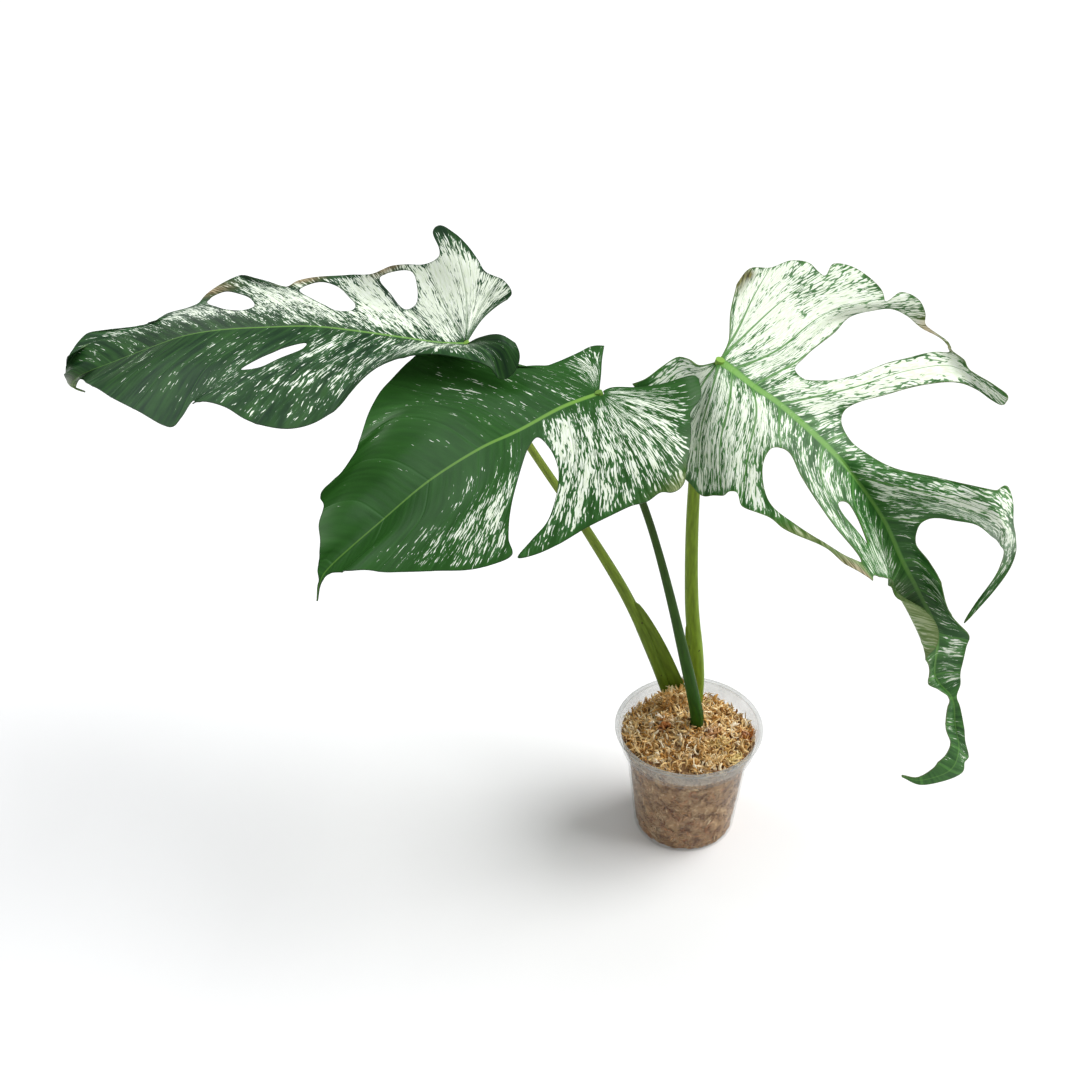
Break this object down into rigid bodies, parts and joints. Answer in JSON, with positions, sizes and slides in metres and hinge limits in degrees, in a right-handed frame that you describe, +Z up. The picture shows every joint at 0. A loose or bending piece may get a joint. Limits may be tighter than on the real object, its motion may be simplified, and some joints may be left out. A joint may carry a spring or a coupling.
{
  "type": "potted variegated monstera",
  "caption": "Variegated monstera with long split leaves on tall stalks, rooted in dried moss in a clear nursery pot.",
  "frame": {"origin": "centre of the pot's underside", "axes": "+X to the right as seen by the viewer, +Y away from the viewer, +Z up along the pot's axis"},
  "size_m": [0.7008, 0.2874, 0.4902],
  "materials": {
    "clear_plastic": "satin",
    "dried_moss": "matte",
    "stem_tissue": "satin",
    "stalk_tissue": "satin",
    "leaf_tissue": "satin"
  },
  "bodies": {
    "root": {"pot": "clear_plastic", "moss": "dried_moss", "stem": "stem_tissue", "petiole_left": "stalk_tissue", "petiole_middle": "stalk_tissue", "petiole_right": "stalk_tissue", "leaf_left": "leaf_tissue", "leaf_middle": "leaf_tissue", "leaf_right": "leaf_tissue"}
  },
  "joints": []
}
